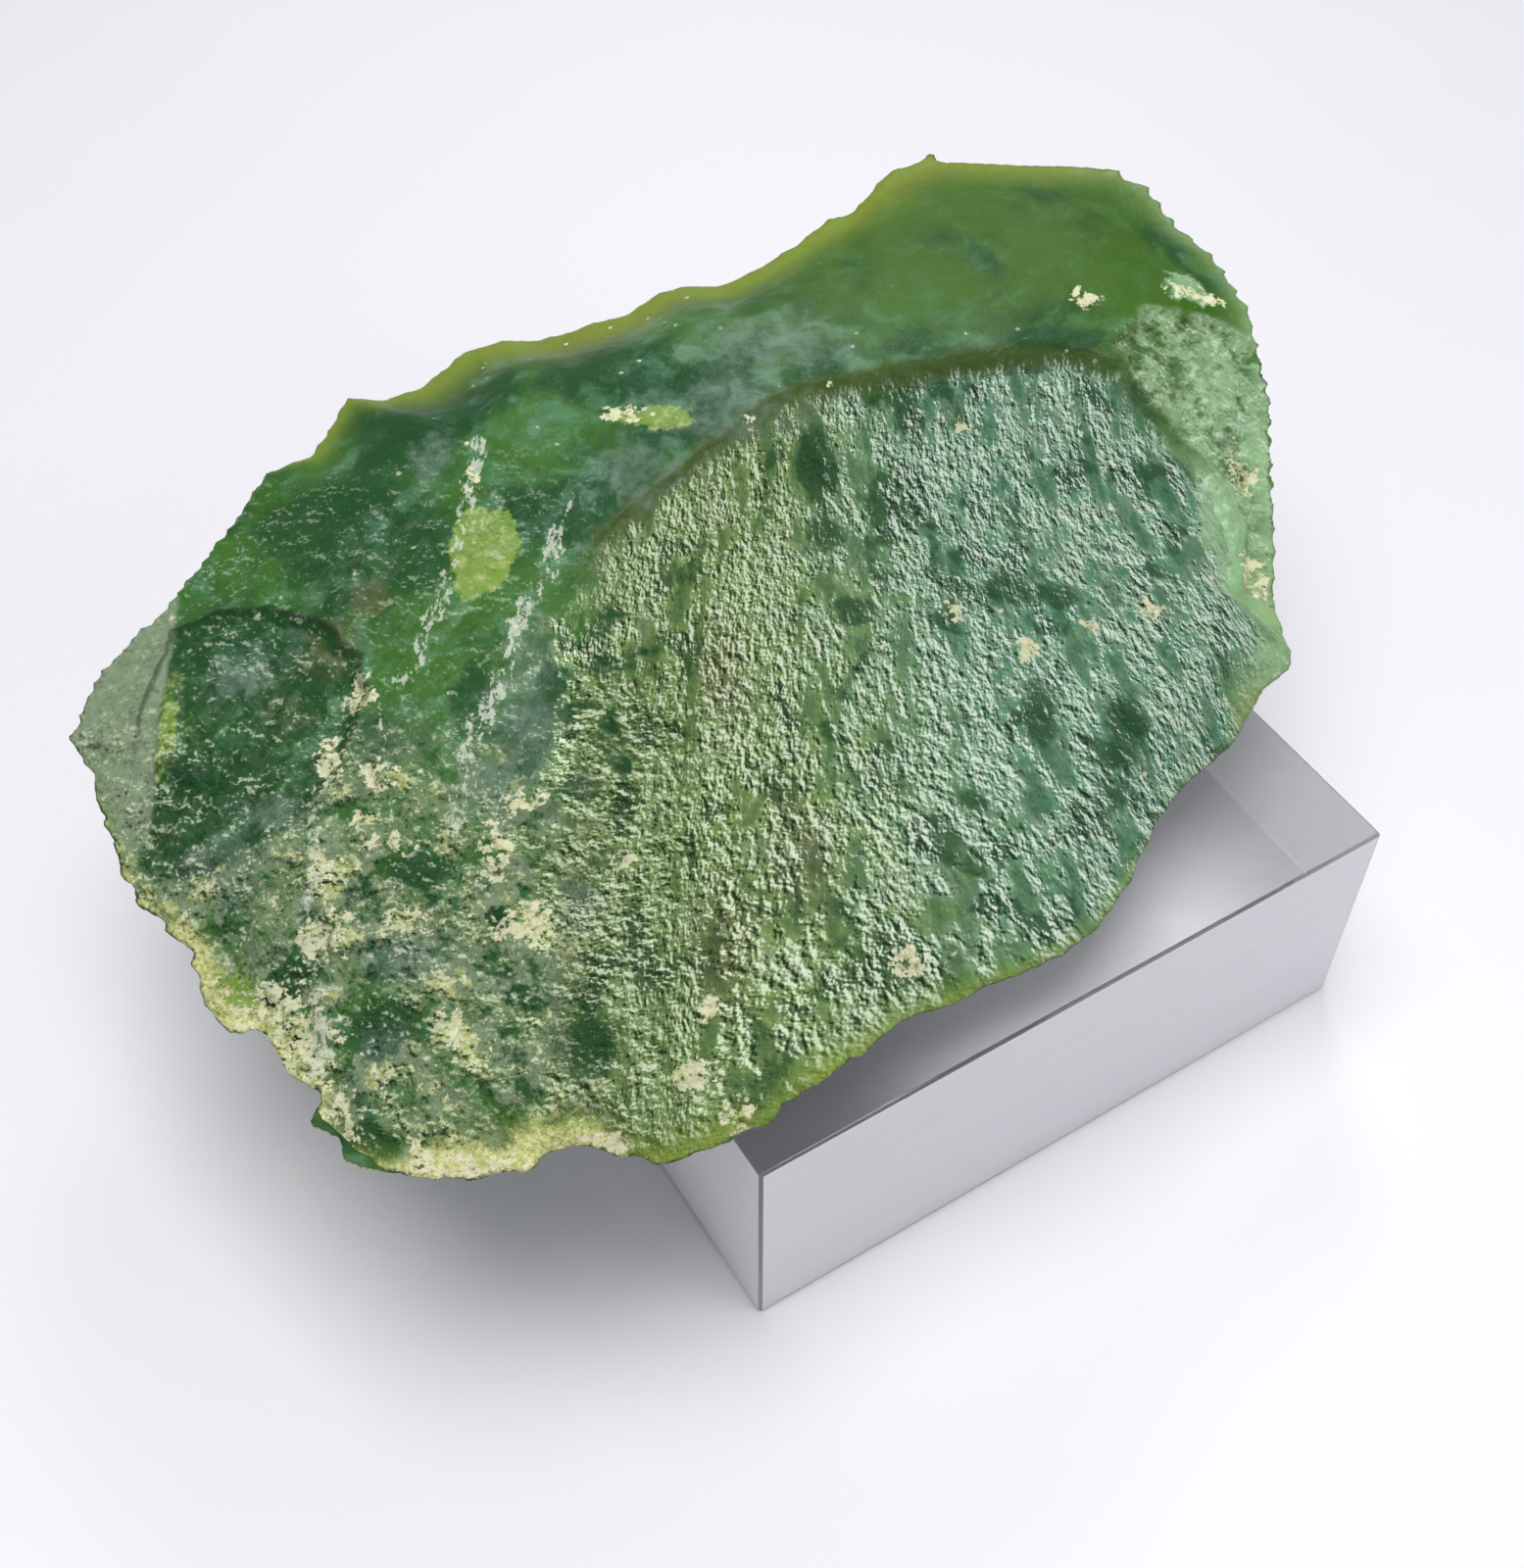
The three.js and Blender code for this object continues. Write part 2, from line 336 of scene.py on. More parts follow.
def rim_tree(piece):
    """A search tree of points along the edge where the face turns over into the underside."""
    points = to_stone(read_vectors(piece))
    up = stone_normals(piece, "polygons", "normal")[:, 2] > 0
    sides = {}
    for polygon in piece.data.polygons:
        for key in polygon.edge_keys:
            sides.setdefault(key, set()).add(up[polygon.index])
    ends = np.array([key for key, ways in sides.items() if len(ways) == 2])
    shares = np.linspace(0, 1, 8)[None, :, None]
    samples = points[ends[:, :1]] * (1 - shares) + points[ends[:, 1:]] * shares
    samples = samples.reshape(-1, 3)
    tree = KDTree(len(samples))
    for i, (x, y, z) in enumerate(samples):
        tree.insert((x, y, 0), i)
    tree.balance()
    return tree


def distance_to_rim(xy, tree):
    return np.array([tree.find((x, y, 0))[2] for x, y in xy.tolist()])


def rim_glow(xy, rim_distance):
    """How strongly the painted glow of the thin rim shows at each point, and how yellow that glow is."""
    weights = np.zeros(len(xy))
    totals = np.zeros((len(xy), 3))
    for x, y, *tone in RIM_GLOW:
        gap = ((xy[:, 0] - x) ** 2 + (xy[:, 1] - y) ** 2) / RIM_GLOW_BLEND ** 2
        weight = np.exp(-gap) + 1e-9
        weights += weight
        totals += weight[:, None] * tone
    reach, strength, yellow = (totals / weights[:, None]).T
    return strength * np.exp(-rim_distance / reach), yellow


def warped_places(xy, amount):
    """Places shifted about a little, so that edges drawn on them run unevenly."""
    shift = np.stack([layered(xy, 3.5, 1, 2), layered(xy, 3.5, 2, 2)], axis=1)
    return xy + amount * shift


def laid_out(points):
    """Where points of the face lie on the sheet that the marks are drawn on."""
    slide = MARK_SLIDE * np.maximum(points[:, 2], 0)
    return np.column_stack([points[:, 0], points[:, 1] + slide])


def bruised(xy):
    """1 where the lower left of the face is crushed and crumbly, 0 elsewhere."""
    x, y = xy[:, 0], xy[:, 1]
    return smoothstep(-22, -42, y + 0.25 * x) * smoothstep(-4, -20, x)


def scar_relief(xy, depth):
    """The scar's wall drawn in from a broad slope to a crisp step with a soft lip above it."""
    step = smoothstep(*SCAR_STEP, xy[:, 1])
    wall = 3.4 - 1.6 * smoothstep(0, 26, xy[:, 0])
    broad = BROAD_SCAR_DEPTH * smoothstep(0, BROAD_SCAR_WALL, depth)
    crisp = SCAR_DEPTH * smoothstep(0, 1, depth / wall)
    crack = 0.22 * np.exp(-((depth - wall) / 0.5) ** 2)
    lip = 0.3 * np.exp(-(depth / 2.5) ** 2) * (depth < 0)
    return step * (broad - crisp - crack + lip)


def hackle_relief(xy, depth):
    """Splintery fibres standing out of the scar, with cross ripples in its left part."""
    fibres = fibre_coordinates(xy) + 0.5 * noise(xy, 4, 3)[:, None]
    streaks = noise(fibres / (1, 4.5), 2.6, 10)
    long_fibres = ridged(fibres / (1, 3.4), 1.9, 11) - 0.5
    short_fibres = ridged(fibres / (1, 2.2), 1.0, 12) - 0.5
    ripples = ridged(fibres / (2.6, 1), 1.1, 13) - 0.5
    rippled = smoothstep(26, 2, xy[:, 0]) * smoothstep(6, -12, xy[:, 1])
    patchy = 0.6 + 0.4 * np.clip(noise(xy, 9, 14) * 2, -1, 1)
    fibre_height = 0.3 * streaks + 0.6 * long_fibres + 0.55 * short_fibres * patchy
    height = (1 - 0.5 * rippled) * fibre_height + rippled * 0.5 * ripples
    ramp = 3.5 + 8 * smoothstep(4, -14, xy[:, 1]) * smoothstep(8, -4, xy[:, 0])
    return smoothstep(0, 1, (depth - 0.5) / (ramp - 0.5)) * height


def crumb_relief(points, size, height, seed):
    """Crumbly broken stone: flat-topped lumps with sharp sides."""
    lumps = layered(points, size, seed)
    terraces = np.round(lumps * 3) / 3
    return height * (0.55 * terraces + 0.45 * lumps)


def face_relief(points, rim_distance):
    """How far each point of the broken face stands above or below the broad shape."""
    xy = points[:, :2]
    warped = warped_places(xy, 0.45)
    drawn = warped_places(laid_out(points), 0.45)
    depth = depth_inside(warped, SCAR_EDGE)
    dish = depth_inside(warped, DISH_EDGE)
    broken = depth_inside(warped, BREAK_EDGE)
    bruise = bruised(xy)
    left = smoothstep(-14, -26, xy[:, 0]) * smoothstep(14, 4, xy[:, 1])
    relief = scar_relief(xy, depth) + hackle_relief(xy, depth)
    relief -= 0.9 * smoothstep(0, 1.8, dish) * smoothstep(-30, -14, xy[:, 1])
    relief -= 0.9 * smoothstep(0, 1.0, broken)
    relief += crumb_relief(xy, 4.5, 0.9, 21) * smoothstep(0, 2, broken)
    relief += crumb_relief(xy, 3.6, 0.7, 22) * bruise
    relief += 0.5 * layered(xy, 2.6, 23) * smoothstep(0, 4, dish)
    relief += 0.3 * layered(xy / (1.6, 1), 2.2, 24) * left
    relief += 0.16 * layered(xy, 6, 26)
    relief += crumb_relief(xy, 1.9, 0.5, 25) * smoothstep(0.35, 0.65, spots(drawn, MARKS["pale"]))
    chips = smoothstep(0.42, 0.55, spots(drawn, MARKS["lime"]))
    relief += 0.35 * chips * smoothstep(3, 6, rim_distance)
    return relief * (0.35 + 0.65 * smoothstep(0.2, 3.0, rim_distance))


def break_off_flats(points):
    for (x, y), way, height, slope in RIM_FLATS.values():
        way = np.array(way) / np.hypot(*way)
        uneven = 0.35 * layered(points[:, :2], 3, 27)
        limit = height - slope * ((points[:, :2] - (x, y)) @ way) + uneven
        points[:, 2] = np.minimum(points[:, 2], limit)


def nick_rim(points, rim_distance):
    """Small bites and teeth along the rim."""
    outward = points[:, :2] - (3, -3)
    outward /= np.maximum(np.linalg.norm(outward, axis=1), 1)[:, None]
    teeth = 0.5 * noise(points * (1, 1, 0.3), 3.4, 41) + 0.3 * noise(points * (1, 1, 0.3), 1.4, 42)
    coarse = 0.15 + 0.95 * smoothstep(10, -45, points[:, 1] + 0.6 * points[:, 0])
    points[:, :2] += outward * ((teeth * coarse + 0.1) * (1 - smoothstep(0, 3, rim_distance)))[:, None]


def shape_stone():
    stone = copied_node("jade_stone", "stone")
    rim = rim_tree(stone)
    apply_modifier(stone, "fine_cut", "REMESH", mode="VOXEL", voxel_size=VOXEL, adaptivity=0)
    points = to_stone(read_vectors(stone))
    rim_distance = distance_to_rim(points[:, :2], rim)
    vertex_group(stone, "inner", smoothstep(1.5, 5, rim_distance))
    apply_modifier(stone, "even_out", "SMOOTH", factor=0.5, iterations=FACE_SMOOTHING, vertex_group="inner")
    apply_modifier(stone, "soften_rim", "SMOOTH", factor=0.5, iterations=RIM_SMOOTHING)

    points = to_stone(read_vectors(stone))
    normals = stone_normals(stone)
    on_face = smoothstep(0.15, 0.6, normals[:, 2])
    top = np.flatnonzero(on_face > 0)
    bottom = np.flatnonzero(on_face < 1)
    shares = on_face[top] * face_relief(points[top], rim_distance[top])
    points[top, 2] += shares
    flats = np.flatnonzero((on_face > 0.1) & (points[:, 0] < -25))
    broken = points[flats]
    break_off_flats(broken)
    points[flats] = broken

    below = points[bottom]
    lumpy = 0.8 * layered(below, 9, 31) + 0.45 * crumb_relief(below, 3.2, 1, 32)
    lumpy *= (1 - on_face[bottom]) * smoothstep(0.5, 4, rim_distance[bottom])
    points[bottom] += normals[bottom] * lumpy[:, None]

    edge = np.flatnonzero(rim_distance < 3)
    nicked = points[edge]
    nick_rim(nicked, rim_distance[edge])
    points[edge] = nicked

    placed = from_stone(points)
    block_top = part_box("display_block")[1].z
    placed[:, 2] = np.maximum(placed[:, 2], block_top + REST_CLEARANCE)
    write_points(stone, placed)
    thin_out(stone, rim)
    mark_stone(stone, rim)
    make_active(stone)
    bpy.ops.object.shade_smooth()
    return stone


def thin_out(stone, rim):
    """Fewer triangles, most of them taken from the underside and none from the rim."""
    rim_distance = distance_to_rim(to_stone(read_vectors(stone))[:, :2], rim)
    hidden = 1 - smoothstep(-0.2, 0.3, stone_normals(stone)[:, 2])
    hidden *= smoothstep(0.5, 2.5, rim_distance)
    vertex_group(stone, "hidden", np.clip(hidden, 0.1, 1))
    share = STONE_TRIANGLES / (2 * len(stone.data.polygons))
    if share < 1:
        apply_modifier(
            stone, "thin_out", "DECIMATE", ratio=share, vertex_group="hidden",
            vertex_group_factor=3.0, use_collapse_triangulate=True,
        )
    stone.vertex_groups.clear()


def mark_stone(stone, rim):
    """Stores where each kind of stone shows, for the finish to read."""
    points = to_stone(read_vectors(stone))
    xy = points[:, :2]
    on_face = smoothstep(0.0, 0.4, stone_normals(stone)[:, 2])
    rim_distance = distance_to_rim(xy, rim)
    warped = warped_places(xy, 0.6)
    depth = depth_inside(warped, SCAR_EDGE)
    fibre = np.column_stack([fibre_coordinates(xy), points[:, 2]])
    glow, yellow = rim_glow(warped, rim_distance)
    sheet = laid_out(points)
    drawn = warped_places(sheet, 0.6)
    veins = [np.clip(1.5 - distance_to_line(drawn, line) / width, 0, 1) for width, line in VEINS]
    broken = smoothstep(-1, 1, depth_inside(warped, BREAK_EDGE))
    store(stone, "fibre", fibre)
    store(stone, "face", on_face)
    store(stone, "scar", depth)
    store(stone, "relief", hackle_relief(xy, depth))
    store(stone, "glow", glow)
    store(stone, "yellow", yellow)
    store(stone, "vein", np.max(veins, axis=0) * on_face)
    dish = smoothstep(-0.5, 2.5, depth_inside(warped, DISH_EDGE))
    bruise = bruised(xy) * (1 - 0.7 * dish)
    store(stone, "bruise", np.maximum(bruise, 0.8 * broken) * on_face)
    store(stone, "dish", dish * on_face)
    flank = smoothstep(-57.5, -60, xy[:, 0] + 0.06 * xy[:, 1]) * smoothstep(-36, -28, xy[:, 1])
    store(stone, "flank", flank * on_face)
    chips = [np.clip(0.5 + depth_inside(sheet, outline) / 1.6, 0, 1) for outline in CHIPS]
    for mark, places in MARKS.items():
        reach = spots(drawn, places)
        if mark == "lime":
            reach = np.maximum(reach, np.max(chips, axis=0))
        store(stone, mark, reach * on_face)


# ---------- shader maths ----------

class Value:
    """What comes out of a shader node. Arithmetic on it adds Math nodes."""

    def __init__(self, finish, socket):
        self.finish = finish
        self.socket = socket

    def _math(self, operation, first, second=0.0):
        return self.finish.node("ShaderNodeMath", {"operation": operation}, {0: first, 1: second})

    def __add__(self, other):
        return self._math("ADD", self, other)

    __radd__ = __add__

    def __sub__(self, other):
        return self._math("SUBTRACT", self, other)

    def __rsub__(self, other):
        return self._math("SUBTRACT", other, self)

    def __mul__(self, other):
        return self._math("MULTIPLY", self, other)

    __rmul__ = __mul__

    def between(self, low, high):
        """0 at low, 1 at high, smooth between them. Low may be above high."""
        settings = {"interpolation_type": "SMOOTHSTEP", "clamp": True}
        ends = {"Value": self, "From Min": low, "From Max": high}
        return self.finish.node("ShaderNodeMapRange", settings, ends)


class Finish:
    """A material and the nodes that make it."""

    def __init__(self, name):
        self.material = bpy.data.materials.new(name)
        self.material.use_nodes = True
        self.tree = self.material.node_tree
        self.tree.nodes.clear()

    def node(self, kind, settings=None, inputs=None, output=0):
        node = self.tree.nodes.new(kind)
        for setting, value in (settings or {}).items():
            setattr(node, setting, value)
        for name, value in (inputs or {}).items():
            if isinstance(value, Value):
                self.tree.links.new(value.socket, node.inputs[name])
            else:
                node.inputs[name].default_value = value
        return Value(self, node.outputs[output]) if len(node.outputs) else None

    def mix(self, factor, first, second):
        settings = {"data_type": "RGBA", "clamp_factor": True}
        return self.node("ShaderNodeMix", settings, {0: factor, 6: first, 7: second}, 2)

    def attribute(self, name, output="Fac"):
        return self.node("ShaderNodeAttribute", {"attribute_name": name}, output=output)

    def stretched(self, vector, scale):
        return self.node("ShaderNodeMapping", {}, {"Vector": vector, "Scale": scale})

    def noise(self, vector, scale, detail=2.0, roughness=0.5, distortion=0.0):
        inputs = {
            "Vector": vector, "Scale": scale, "Detail": detail,
            "Roughness": roughness, "Distortion": distortion,
        }
        return self.node("ShaderNodeTexNoise", {}, inputs)

    def crinkles(self, vector, scale, shift):
        """Crinkled relief, and how its near sides catch the light and its far sides don't, for painting
        highlights and shade into the colour.
        """
        here = self.noise(self.stretched(vector, scale), 1.0, 4.0, 0.72)
        moved = self.node("ShaderNodeMapping", {}, {"Vector": vector, "Location": shift, "Scale": scale})
        there = self.noise(moved, 1.0, 4.0, 0.72)
        return here, here - there

    def mark(self, name, uneven, low, high):
        """A stored mark with its edge and its inside broken up."""
        stored = self.attribute(name)
        return (stored + uneven).between(low, high) * stored.between(0.0, 0.35)

    def cells(self, vector, scale):
        return self.node("ShaderNodeTexVoronoi", {}, {"Vector": vector, "Scale": scale}, "Distance")

    def bump(self, height, distance, strength=1.0, normal=None):
        inputs = {"Height": height, "Distance": distance, "Strength": strength}
        if normal:
            inputs["Normal"] = normal
        return self.node("ShaderNodeBump", {}, inputs)

    def surface(self, shader):
        self.node("ShaderNodeOutputMaterial", {}, {"Surface": shader})
        return self.material


def rgb(red, green, blue):
    """A display colour, given from 0 to 255, as the linear light a shader works in."""
    shares = [c / 255 for c in (red, green, blue)]
    return tuple(s / 12.92 if s < 0.04045 else ((s + 0.055) / 1.055) ** 2.4 for s in shares) + (1,)


DEEP_GREEN = rgb(28, 74, 34)
LEAF_GREEN = rgb(60, 106, 38)
MOSS = rgb(60, 100, 4)
BLUE_GREEN = rgb(92, 144, 112)
OLIVE = rgb(120, 150, 84)
OLIVE_WALL = rgb(66, 86, 32)
SEA_GREEN = rgb(132, 174, 138)
GLINT = rgb(226, 240, 226)
YELLOW_GLINT = rgb(224, 238, 204)
RIM_YELLOW = rgb(126, 136, 34)
LIME_GREEN = rgb(134, 166, 70)
CRUSHED = rgb(234, 231, 194)
CRUSHED_GREEN = rgb(188, 196, 118)
CRUST_CREAM = rgb(234, 230, 166)
GREY_BLUE = rgb(112, 136, 120)
GREY_GREEN = rgb(142, 160, 128)
DUSTY_GREEN = rgb(116, 140, 88)
DUST_GLINT = rgb(206, 218, 186)
PALE_JADE = rgb(150, 190, 140)
JADE_WHITE = rgb(206, 226, 204)
IRON_BROWN = rgb(98, 98, 60)
SHADOW_GREEN = rgb(14, 34, 14)
FLANK_GREY = rgb(128, 148, 116)
VEIN_WHITE = rgb(206, 214, 194)


JADE_IOR = 1.61
JADE_SHINE = 0.16
ACRYLIC_IOR = 1.49
FROST_LET_THROUGH = 0.2


def jade_finish():
    f = Finish("broken_jade")
    place = f.node("ShaderNodeTexCoord", output="Object")
    grain = f.stretched(place, (1 / MM, 1 / MM, 1 / MM))
    fibre = f.attribute("fibre", "Vector")
    scar = f.attribute("scar")
    face = f.attribute("face")
    relief = f.attribute("relief")
    across = f.node("ShaderNodeSeparateXYZ", {}, {"Vector": fibre}, 0)
    along = f.node("ShaderNodeSeparateXYZ", {}, {"Vector": fibre}, 1)

    clouds = f.noise(grain, 0.07, 3.0, 0.55)
    mottle = f.noise(grain, 0.28, 4.0, 0.6, 0.5)
    grit = f.noise(grain, 0.85, 5.0, 0.66)
    speckle = f.noise(grain, 2.0, 3.0, 0.6)
    ragged = (grit - 0.5) * 1.3
    chunky = grit.between(0.36, 0.64) - 0.5
    cloudy = mottle.between(0.32, 0.68) - 0.5
    soft = along.between(6, -10) * across.between(6, -6)
    soft_scar = scar * (1 - soft * 0.85) + soft * ((mottle - 0.5) * 9 + 1.2)
    on_scar = soft_scar.between(0.4, 2.4) * face

    # Body colour: deep to leaf green in soft clouds, mossy on the smooth band at the back.
    colour = f.mix(clouds.between(0.4, 0.6), DEEP_GREEN, LEAF_GREEN)
    colour = f.mix(mottle.between(0.45, 0.7) * 0.55, colour, BLUE_GREEN)
    back = along.between(26, 44) * across.between(-20, 20)
    colour = f.mix(back * clouds.between(0.3, 0.5) * 0.8, colour, MOSS)

    # The scar: olive at the left, sea green at the right, with darker clear patches.
    left = (across + (mottle - 0.5) * 30).between(26, 2)
    scar_body = f.mix(left, f.mix(mottle.between(0.36, 0.6), BLUE_GREEN, SEA_GREEN), OLIVE)
    patches = f.noise(f.stretched(fibre, (0.24, 0.16, 0.2)), 1.0, 3.0, 0.55, 0.6)
    scar_body = f.mix(patches.between(0.48, 0.38) * 0.75, scar_body, DEEP_GREEN)
    scar_body = f.mix(patches.between(0.54, 0.7) * 0.5, scar_body, GREY_GREEN)
    colour = f.mix(on_scar, colour, scar_body)
    right = across.between(40, 52)
    wall = scar.between(-1.6, 0.0) * scar.between(2.4, 1.0) * face * along.between(-6, 6)
    colour = f.mix(wall * (0.85 - right * 0.6), colour, OLIVE_WALL)
    # Painted glow of light through the thin lip at the scar's right edge.
    lip = scar.between(-2.6, -0.6) * scar.between(3.0, 1.0) * right * along.between(24, 14)
    colour = f.mix(lip * 0.7, colour, PALE_JADE)

    uneven = (mottle - 0.5) * 1.4 + ragged * 0.5
    colour = f.mix(f.mark("brown", uneven, 0.3, 1.1) * 0.6, colour, IRON_BROWN)
    colour = f.mix(f.mark("deep", uneven, 0.3, 0.9) * 0.85, colour, DEEP_GREEN)

    # Crushed stone at the lower left: grey green clouds and clear pools.
    bruise = f.attribute("bruise")
    flakes, flake_light = f.crinkles(grain, (0.26, 0.2, 0.26), (0.05, 0.09, 0.04))
    clear = f.mark("deep", uneven, 0.3, 0.9) * 0.2
    dusty = (flakes - clear).between(0.38, 0.5) * bruise
    colour = f.mix(dusty * 0.75, colour, f.mix(mottle.between(0.4, 0.6), GREY_GREEN, DUSTY_GREEN))
    pale_flakes = (flakes - clear + right * 0.08).between(0.55, 0.62) * bruise * 0.8
    colour = f.mix(pale_flakes, colour, f.mix(left, PALE_JADE, CRUSHED_GREEN))
    dish = f.attribute("dish")
    # Darker along the dish's edge as painted shade, and in clouds inside it, where the stone is its own
    # deep green.
    dark_dish = dish.between(0.0, 0.4) * dish.between(0.9, 0.5) + dish * cloudy.between(0.4, -0.2)
    colour = f.mix(dark_dish * 0.75, colour, DEEP_GREEN)
    # Painted reflection: a cool grey blue sheen on the sheen marks.
    sheen = f.mark("sheen", cloudy * 0.6 + chunky * 0.5, 0.1, 1.4)
    colour = f.mix(sheen * 0.55, colour, GREY_BLUE)
    flank = (f.attribute("flank") + ragged * 0.4).between(0.3, 0.8)
    colour = f.mix(flank * 0.85, colour, f.mix(grit.between(0.4, 0.6), GREY_GREEN, FLANK_GREY))

    # Fibres: painted highlights where the crinkled splinter ends catch the light, and painted shade on
    # their far sides and in the gaps between them.
    streaks = f.noise(f.stretched(fibre, (0.44, 0.11, 0.1)), 1.0, 3.0, 0.6, 0.3)
    rippled = (across + (mottle - 0.5) * 40).between(4, -10) * along.between(-10, -20)
    # Painted shade in the gaps between the streaks.
    colour = f.mix(streaks.between(0.48, 0.36) * on_scar * (0.5 - rippled * 0.3), colour, DEEP_GREEN)
    splinters, splinter_light = f.crinkles(fibre, (1.3, 0.62, 0.5), (0.22, 0.12, 0))
    lumps, lump_light = f.crinkles(fibre, (0.66, 0.86, 0.7), (0.1, 0.19, 0.1))
    lit = splinter_light * (1 - rippled) + lump_light * rippled
    gathered = (streaks + (mottle - 0.5) * 0.5 + relief * 0.08 + rippled * 0.2).between(0.4, 0.56)
    gathered = gathered * (1 - f.mark("deep", uneven, 0.2, 0.8) * 0.85)
    lit = lit * (gathered * 0.75 + 0.25) + (streaks - 0.5) * 0.1
    # Painted shade on the splinters' far sides, then painted highlights on their near sides.
    colour = f.mix(lit.between(-0.025, -0.09) * on_scar * 0.95, colour, SHADOW_GREEN)
    colour = f.mix(lit.between(0.01, 0.08) * on_scar * 0.95, colour, f.mix(left, GLINT, YELLOW_GLINT))

    scuffs = speckle.between(0.58, 0.7) * mottle.between(0.5, 0.62) * (1 - on_scar)
    colour = f.mix(scuffs * 0.25, colour, GREY_GREEN)

    # Thin edges painted with the light they let through, yellow and then lime, with a pale crust where it
    # is crushed.
    glow = (f.attribute("glow") * (face * 0.5 + 0.5) + ragged * 0.14).between(0.15, 0.75)
    green_rim = f.mix(right, LIME_GREEN, PALE_JADE)
    rim_colour = f.mix(f.attribute("yellow") + (mottle - 0.5) * 1.5, green_rim, RIM_YELLOW)
    colour = f.mix(glow * 0.85, colour, rim_colour)
    lime = f.mark("lime", chunky * 0.35 + cloudy * 0.5, 0.35, 0.75)
    clean = f.mix(left, PALE_JADE, LIME_GREEN)
    crumbly = f.mix(left, JADE_WHITE, CRUSHED_GREEN)
    colour = f.mix(lime * 0.72, colour, f.mix(grit.between(0.5, 0.68), clean, crumbly))
    crust = (glow + uneven * 0.8).between(0.25, 0.7) * (glow * bruise).between(0.0, 0.3) * left
    colour = f.mix(crust * 0.9, colour, f.mix(speckle.between(0.4, 0.62), CRUSHED_GREEN, CRUST_CREAM))

    crumbs = (speckle + (grit - 0.5) * 1.2 + (flakes - clear - 0.5) * 1.2).between(0.7, 0.78) * bruise
    colour = f.mix(crumbs * 0.8, colour, f.mix(left, JADE_WHITE, CRUSHED))
    pale = f.mark("pale", chunky * 1.2 + cloudy * 0.5, 0.65, 0.85)
    colour = f.mix(pale * 0.85, colour, f.mix(grit.between(0.42, 0.56), CRUSHED_GREEN, CRUSHED))
    wisps = splinters.between(0.4, 0.62) - 0.5
    vein = f.mark("vein", wisps * 1.5 + cloudy * 0.5 + chunky * 0.4, 0.85, 1.3)
    colour = f.mix(vein * 0.7, colour, VEIN_WHITE)
    dots = f.cells(grain, 0.4).between(0.15, 0.09) * mottle.between(0.5, 0.6) * face * (1 - back)
    colour = f.mix(dots * 0.75, colour, CRUSHED)

    # Painted highlights and painted shade on the crumbly relief on the rest of the face, where it catches
    # the light and where it doesn't, in the same way.
    rough_left = across.between(-6, -24) * along.between(22, 8) * face
    broken = bruise * (1 - crust * 0.5) + rough_left * 0.6 + dish * 0.3 + pale * 0.5
    gathered_lumps = (mottle + flakes - 0.5).between(0.46, 0.64) * 0.8 + 0.2
    lump_light = (lump_light * gathered_lumps + flake_light * 0.7) * (1 - on_scar)
    colour = f.mix(lump_light.between(-0.025, -0.11) * broken * 0.55, colour, SHADOW_GREEN)
    colour = f.mix(lump_light.between(0.025, 0.11) * broken * 0.5, colour, DUST_GLINT)
    # Painted shade along the step at the dish's upper edge.
    dish_edge = dish.between(0.02, 0.12) * dish.between(0.45, 0.2) * along.between(-26, -12)
    colour = f.mix(dish_edge * 0.6, colour, SHADOW_GREEN)

    # The finish under the light.
    rough = speckle * 0.25 + 0.2 + back * 0.15 + pale * 0.3 + crumbs * 0.2 + (1 - face) * 0.15
    fibres_up = f.bump(splinters * scar.between(0.6, 2.4), 1.1 * MM, 1.0)
    coarse = bruise * 0.8 + (1 - face) * 0.6 + 0.15
    bumps = f.bump(lumps * coarse, 1.2 * MM, 0.9, fibres_up)
    stone = f.node("ShaderNodeBsdfPrincipled", {}, {
        "Base Color": colour,
        "Roughness": rough,
        "Normal": bumps,
        "IOR": JADE_IOR,
        "Specular IOR Level": JADE_SHINE,
    })
    return f.surface(stone)


def acrylic_finish():
    """Clear acrylic: sides and underside satin from the saw, and the top worn hazy."""
    f = Finish("clear_acrylic")
    place = f.node("ShaderNodeTexCoord", output="Object")
    grain = f.stretched(place, (1 / MM, 1 / MM, 1 / MM))
    smears = f.noise(grain, 0.05, 3.0, 0.55, 1.2).between(0.5, 0.75)
    satin = f.attribute("satin")
    drag = f.noise(f.stretched(grain, (0.02, 0.02, 1.2)), 1.0, 2.0)
    clear = f.node("ShaderNodeBsdfPrincipled", {}, {
        "Base Color": (0.99, 0.99, 0.995, 1),
        "Roughness": smears * 0.02 + 0.004 + satin * (0.3 + drag * 0.08),
        "IOR": ACRYLIC_IOR,
        "Transmission Weight": 1.0,
    })
    white = f.node("ShaderNodeBsdfPrincipled", {}, {
        "Base Color": f.mix(drag, rgb(240, 238, 243), rgb(250, 248, 253)),
        "Roughness": 0.5,
    })
    through = f.node("ShaderNodeBsdfTranslucent", {}, {"Color": (0.97, 0.97, 0.98, 1)})
    frost = f.node("ShaderNodeMixShader", {}, {0: FROST_LET_THROUGH, 1: white, 2: through})
    across = f.node("ShaderNodeSeparateXYZ", {}, {"Vector": grain}, 0)
    worn = across.between(-34, -4) * (1 - across.between(12, 30) * 0.6)
    haze = f.attribute("haze") * (worn * 0.9 + smears * 0.05)
    frosted = f.attribute("frosted") + (drag - 0.5) * satin * 0.06 + haze
    return f.surface(f.node("ShaderNodeMixShader", {}, {0: frosted, 1: clear, 2: frost}))


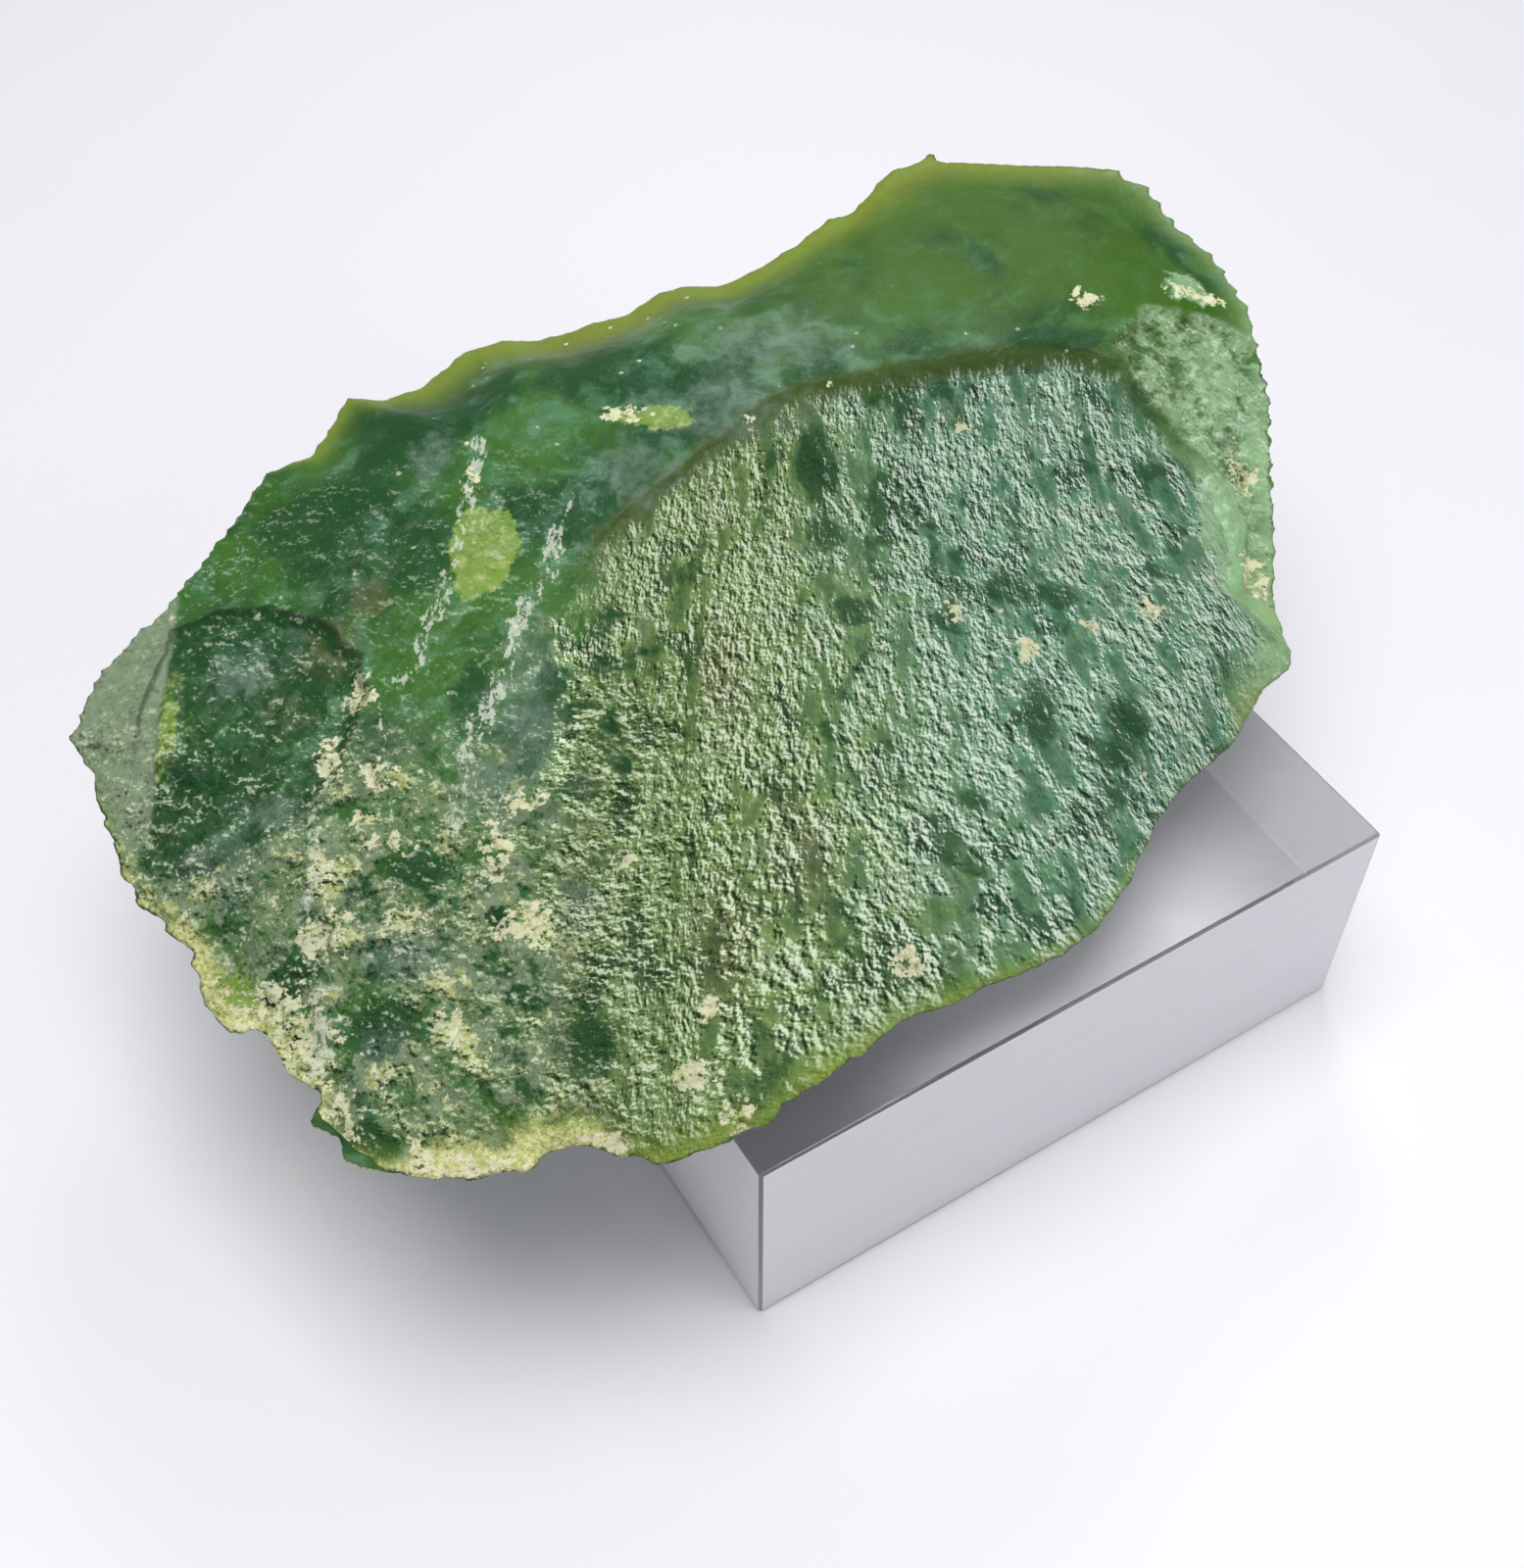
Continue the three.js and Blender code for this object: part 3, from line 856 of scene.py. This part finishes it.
def floor_finish():
    f = Finish("pale_floor")
    place = f.node("ShaderNodeTexCoord", output="Object")
    tone = f.noise(place, 3.0, 3.0, 0.5)
    colour = f.mix(tone.between(0.3, 0.7), rgb(242, 240, 245), rgb(246, 244, 248))
    board = f.node("ShaderNodeBsdfPrincipled", {}, {
        "Base Color": colour,
        "Roughness": f.noise(place, 60.0, 2.0) * 0.1 + 0.5,
    })
    return f.surface(board)


# ---------- the pieces ----------

SIDE_FROST = 1.0
UNDERSIDE_FROST = 0.9
TOP_SATIN = 0.15
EDGE_ROUND = 0.35 * MM
# Faces larger than this, in square metres, are the block's six broad ones.
BROAD_FACE = 0.0001
FLOOR_SIZE = 8
FLOOR_DROP = 0.05 * MM


def make_block():
    """The clear block: a slab with its edges polished to a fine round."""
    low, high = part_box("display_block")
    deselect_all()
    bpy.ops.mesh.primitive_cube_add(size=1, location=(low + high) / 2)
    block = bpy.context.object
    block.name = "clear_block"
    block.scale = high - low
    bpy.ops.object.transform_apply(location=True, rotation=True, scale=True)
    apply_modifier(
        block, "polished_edges", "BEVEL", width=EDGE_ROUND, segments=3, limit_method="ANGLE",
    )
    make_active(block)
    bpy.ops.object.shade_smooth_by_angle(angle=math.radians(20))
    faces = block.data.polygons
    broad = np.array([face.area > BROAD_FACE for face in faces])
    up = np.array([face.normal.z for face in faces])
    top = broad & (up > 0.9)
    side = broad & (np.abs(up) < 0.1)
    under = broad & (up < -0.9)
    store(block, "satin", TOP_SATIN * top + 1.0 * (side | under), "FACE")
    store(block, "haze", 1.0 * top, "FACE")
    store(block, "frosted", SIDE_FROST * side + UNDERSIDE_FROST * under, "FACE")
    return block


def make_floor():
    deselect_all()
    bpy.ops.mesh.primitive_plane_add(size=FLOOR_SIZE, location=(0, 0, -FLOOR_DROP))
    floor = bpy.context.object
    floor.name = "floor"
    floor.data.materials.append(floor_finish())


# Lights: name, place, the point it faces, size, power and colour.
LIGHTS = [
    ("ceiling", (-0.09, -0.02, 0.58), (-0.08, -0.06, 0), (0.36, 0.36), 2.2, (1.0, 0.98, 0.98)),
    ("front", (0.26, -0.36, 0.3), (0.02, -0.03, 0.02), (0.25, 0.25), 0.38, (1.0, 1.0, 1.0)),
    ("window", (0.3, 0.42, 0.5), (0.03, 0, 0.03), (0.2, 0.2), 0.9, (0.93, 1.0, 1.0)),
]
ROOM_COLOUR = (0.94, 0.95, 1.0, 1)
ROOM_LIGHT = 0.37


def make_light(name, place, target, size, power, colour):
    data = bpy.data.lights.new(name, "AREA")
    data.shape = "RECTANGLE"
    data.size, data.size_y = size
    data.energy = power
    data.color = colour
    light = bpy.data.objects.new(name, data)
    bpy.context.scene.collection.objects.link(light)
    light.location = place
    light.rotation_euler = (Vector(target) - Vector(place)).to_track_quat("-Z", "Y").to_euler()


def light_studio():
    world = bpy.data.worlds.new("studio")
    bpy.context.scene.world = world
    world.use_nodes = True
    background = world.node_tree.nodes["Background"]
    background.inputs["Color"].default_value = ROOM_COLOUR
    background.inputs["Strength"].default_value = ROOM_LIGHT
    for light in LIGHTS:
        make_light(*light)
    cycles = bpy.context.scene.cycles
    cycles.max_bounces = 10
    cycles.glossy_bounces = 8
    cycles.transmission_bounces = 10
    bpy.context.scene.view_settings.view_transform = "Standard"


CAMERA_PLACE = Vector((-91.63, -122.55, 207.97)) * MM
CAMERA_TURN = math.radians(-32.01)
CAMERA_DOWN = math.radians(50.56)
CAMERA_ROLL = math.radians(0.27)
CAMERA_LENS = 47.47
CAMERA_SENSOR = 36
CAMERA_NEAR = 0.01


def make_camera():
    data = bpy.data.cameras.new("camera")
    data.lens = CAMERA_LENS
    data.sensor_width = CAMERA_SENSOR
    data.clip_start = CAMERA_NEAR
    camera = bpy.data.objects.new("camera", data)
    bpy.context.scene.collection.objects.link(camera)
    camera.matrix_world = (
        Matrix.Translation(CAMERA_PLACE)
        @ Matrix.Rotation(CAMERA_TURN, 4, "Z")
        @ Matrix.Rotation(math.pi / 2 - CAMERA_DOWN, 4, "X")
        @ Matrix.Rotation(CAMERA_ROLL, 4, "Z")
    )
    bpy.context.scene.camera = camera


make_camera()
light_studio()
make_floor()

stone = shape_stone()
stone.data.materials.append(jade_finish())
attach(stone, "root")
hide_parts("stone")

block = make_block()
block.data.materials.append(acrylic_finish())
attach(block, "root")
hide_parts("display_block")
